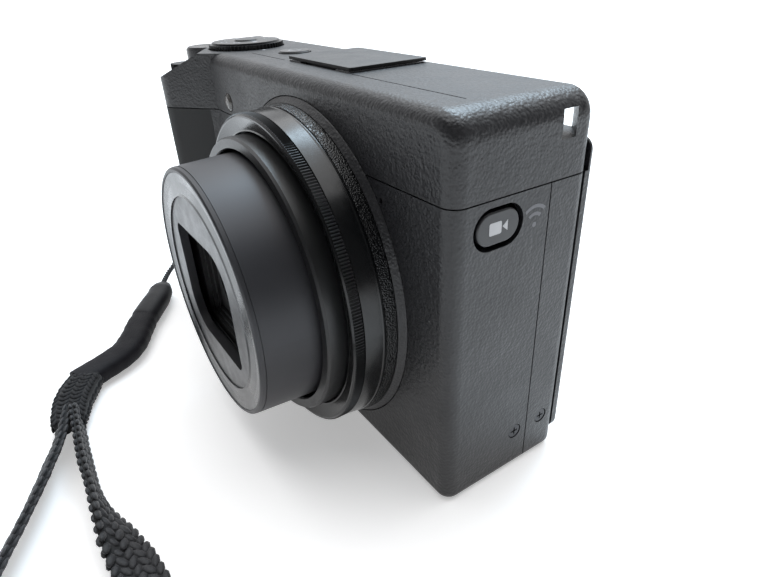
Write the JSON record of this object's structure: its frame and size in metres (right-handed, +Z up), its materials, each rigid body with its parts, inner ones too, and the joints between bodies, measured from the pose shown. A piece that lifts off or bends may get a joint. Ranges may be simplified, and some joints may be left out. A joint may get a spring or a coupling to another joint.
{
  "type": "compact digital camera",
  "caption": "Pocket camera with a collapsing lens, ring cap, grip, deck dials and buttons, hot shoe, rear screen, battery door and a braided wrist strap.",
  "frame": {"origin": "mouth of the tripod socket in the base plane, straight under the lens axis", "axes": "+X to the end with the movie button, +Y from the lens to the rear screen, +Z up"},
  "size_m": [0.188, 0.112, 0.0635],
  "materials": {
    "body_paint": "fine wrinkle texture, semi-matte black",
    "grip_rubber": "leather-grain rubber",
    "ring_gloss": "smooth glossy black",
    "barrel_satin": "satin black, fine brushed",
    "disc_matte": "matte black",
    "cell_black": "dull black",
    "lens_glass": "coated glass",
    "screen_glass": "dark glossy window",
    "lamp_glass": "clear lamp window",
    "button_black": "satin black plastic",
    "dial_metal": "black anodised, knurled",
    "steel": "plain steel",
    "screw_black": "black screws",
    "chassis_metal": "stamped sheet",
    "board": "circuit board",
    "sensor": "black frame",
    "inner_plastic": "moulded plastic",
    "battery_wrap": "wrapped battery",
    "card_plastic": "memory card shell",
    "brass": "gold contacts",
    "cover_rubber": "soft black flap",
    "strap_cord": "thin black cord",
    "strap_leather": "smooth black sleeve",
    "strap_weave": "braided black webbing"
  },
  "bodies": {
    "camera_body": {"front_cover": "body_paint", "top_cover": "body_paint", "rear_cover": "body_paint", "grip_cover": "grip_rubber", "lens_collar": "body_paint", "base_plate": "body_paint", "chassis": "chassis_metal", "bayonet_ring": "steel", "fixed_lens_tube": "cell_black", "tripod_socket": "steel", "main_board": "board", "sensor_unit": "sensor", "battery_box": "inner_plastic", "card_slot": "chassis_metal", "screen_module": "sensor", "screen_window": "screen_glass", "hot_shoe_rails": "steel", "hot_shoe_contacts": "brass", "strap_bars": "steel", "focus_lamp": "lamp_glass", "speaker": "inner_plastic", "usb_socket": "steel", "case_screws": "screw_black", "battery_hinge_pin": "steel", "strap_string": "strap_cord", "strap_sleeve": "strap_leather", "strap_joint": "strap_weave", "wrist_loop": "strap_weave"},
    "first_stage": {"first_barrel": "barrel_satin"},
    "front_stage": {"front_barrel": "barrel_satin", "bezel_ring": "disc_matte", "inner_disc": "disc_matte", "lens_cell": "cell_black", "front_lens_group": "lens_glass", "shutter_unit": "cell_black", "rear_lens_group": "lens_glass"},
    "upper_leading": {"upper_leading_blade": "cell_black"},
    "upper_trailing": {"upper_trailing_blade": "cell_black"},
    "lower_leading": {"lower_leading_blade": "cell_black"},
    "lower_trailing": {"lower_trailing_blade": "cell_black"},
    "ring": {"ring_cap": "ring_gloss"},
    "ring_release": {"ring_release_button": "button_black"},
    "shutter": {"shutter_button": "dial_metal"},
    "power": {"power_button": "button_black"},
    "mode_dial": {"mode_dial": "dial_metal"},
    "dial_lock": {"dial_lock_button": "button_black"},
    "front_dial": {"front_dial": "dial_metal"},
    "adjust_lever": {"adjust_lever": "button_black"},
    "playback": {"playback_button": "button_black"},
    "menu": {"menu_button": "button_black"},
    "display": {"display_button": "button_black"},
    "wheel": {"control_wheel": "dial_metal"},
    "confirm": {"confirm_button": "button_black"},
    "movie": {"movie_button": "button_black"},
    "battery_door": {"battery_door": "body_paint"},
    "battery_latch": {"battery_latch": "button_black"},
    "battery": {"battery": "battery_wrap"},
    "memory_card": {"memory_card": "card_plastic"},
    "usb_cover": {"usb_cover": "cover_rubber"},
    "hot_shoe_cover": {"hot_shoe_cover": "button_black"}
  },
  "joints": [
    {"name": "lens_collapse", "type": "slide", "parent": "camera_body", "child": "front_stage", "axis": [0, 1, 0], "range_m": [0, 0.0123]},
    {"name": "first_barrel_collapse", "type": "slide", "parent": "camera_body", "child": "first_stage", "axis": [0, 1, 0], "range_m": [0, 0.003]},
    {"name": "upper_leading_close", "type": "slide", "parent": "front_stage", "child": "upper_leading", "axis": [0, 0, 1], "range_m": [-0.0105, 0]},
    {"name": "lower_leading_close", "type": "slide", "parent": "front_stage", "child": "lower_leading", "axis": [0, 0, 1], "range_m": [0, 0.0105]},
    {"name": "upper_trailing_close", "type": "slide", "parent": "front_stage", "child": "upper_trailing", "axis": [0, 0, 1], "range_m": [-0.0055, 0]},
    {"name": "lower_trailing_close", "type": "slide", "parent": "front_stage", "child": "lower_trailing", "axis": [0, 0, 1], "range_m": [0, 0.0055]},
    {"name": "ring_cap_turn", "type": "hinge", "parent": "camera_body", "child": "ring", "pos_m": [0, -0.013, 0.0288], "axis": [0, 1, 0], "range_deg": [-50, 0]},
    {"name": "ring_release_press", "type": "slide", "parent": "camera_body", "child": "ring_release", "axis": [0, 1, 0], "range_m": [0, 0.001], "stiffness_N_per_m": 300},
    {"name": "shutter_press", "type": "slide", "parent": "camera_body", "child": "shutter", "axis": [0, 0, -1], "range_m": [0, 0.0009], "stiffness_N_per_m": 500},
    {"name": "power_press", "type": "slide", "parent": "camera_body", "child": "power", "axis": [0, 0, -1], "range_m": [0, 0.0006], "stiffness_N_per_m": 600},
    {"name": "mode_dial_turn", "type": "hinge", "parent": "camera_body", "child": "mode_dial", "pos_m": [-0.0453, -0.0022, 0.0619], "axis": [0, 0, 1], "continuous": true},
    {"name": "dial_lock_press", "type": "slide", "parent": "mode_dial", "child": "dial_lock", "axis": [0, 0, -1], "range_m": [0, 0.0008], "stiffness_N_per_m": 400},
    {"name": "front_dial_turn", "type": "hinge", "parent": "camera_body", "child": "front_dial", "pos_m": [-0.0525, -0.0148, 0.0576], "axis": [0, 0, 1], "continuous": true},
    {"name": "adjust_lever_rock", "type": "hinge", "parent": "camera_body", "child": "adjust_lever", "pos_m": [-0.05, 0.0074, 0.0552], "axis": [0, 0, 1], "range_deg": [-6, 6], "stiffness_Nm_per_rad": 0.3},
    {"name": "playback_press", "type": "slide", "parent": "camera_body", "child": "playback", "axis": [0, -1, 0], "range_m": [0, 0.0006], "stiffness_N_per_m": 400},
    {"name": "menu_press", "type": "slide", "parent": "camera_body", "child": "menu", "axis": [0, -1, 0], "range_m": [0, 0.0006], "stiffness_N_per_m": 400},
    {"name": "display_press", "type": "slide", "parent": "camera_body", "child": "display", "axis": [0, -1, 0], "range_m": [0, 0.0006], "stiffness_N_per_m": 400},
    {"name": "control_wheel_turn", "type": "hinge", "parent": "camera_body", "child": "wheel", "pos_m": [-0.052, 0.0119, 0.03], "axis": [0, 1, 0], "continuous": true},
    {"name": "confirm_press", "type": "slide", "parent": "camera_body", "child": "confirm", "axis": [0, -1, 0], "range_m": [0, 0.0006], "stiffness_N_per_m": 400},
    {"name": "movie_press", "type": "slide", "parent": "camera_body", "child": "movie", "axis": [-1, 0, 0], "range_m": [0, 0.0006], "stiffness_N_per_m": 400},
    {"name": "battery_door_open", "type": "hinge", "parent": "camera_body", "child": "battery_door", "pos_m": [-0.0503, 0.0072, 0.00075], "axis": [1, 0, 0], "range_deg": [0, 90]},
    {"name": "battery_latch_slide", "type": "slide", "parent": "battery_door", "child": "battery_latch", "axis": [0, 1, 0], "range_m": [0, 0.0015]},
    {"name": "battery_pop", "type": "slide", "parent": "camera_body", "child": "battery", "axis": [0, 0, -1], "range_m": [0, 0.003]},
    {"name": "card_pop", "type": "slide", "parent": "camera_body", "child": "memory_card", "axis": [0, 0, -1], "range_m": [0, 0.0026]},
    {"name": "usb_cover_open", "type": "hinge", "parent": "camera_body", "child": "usb_cover", "pos_m": [-0.0696, 0.0091, 0.01775], "axis": [0, 0, 1], "range_deg": [-100, 0]},
    {"name": "hot_shoe_cover_slide", "type": "slide", "parent": "camera_body", "child": "hot_shoe_cover", "axis": [0, 1, 0], "range_m": [0, 0.0155]}
  ],
  "couplings": [
    {"joint": "first_barrel_collapse", "follows": "lens_collapse", "ratio": 0.24},
    {"joint": "upper_leading_close", "follows": "lens_collapse", "ratio": -0.85},
    {"joint": "lower_leading_close", "follows": "lens_collapse", "ratio": 0.85},
    {"joint": "upper_trailing_close", "follows": "lens_collapse", "ratio": -0.44},
    {"joint": "lower_trailing_close", "follows": "lens_collapse", "ratio": 0.44},
    {"joint": "battery_pop", "follows": "battery_door_open", "m_per_rad": 0.0019},
    {"joint": "card_pop", "follows": "battery_door_open", "m_per_rad": 0.0016}
  ]
}
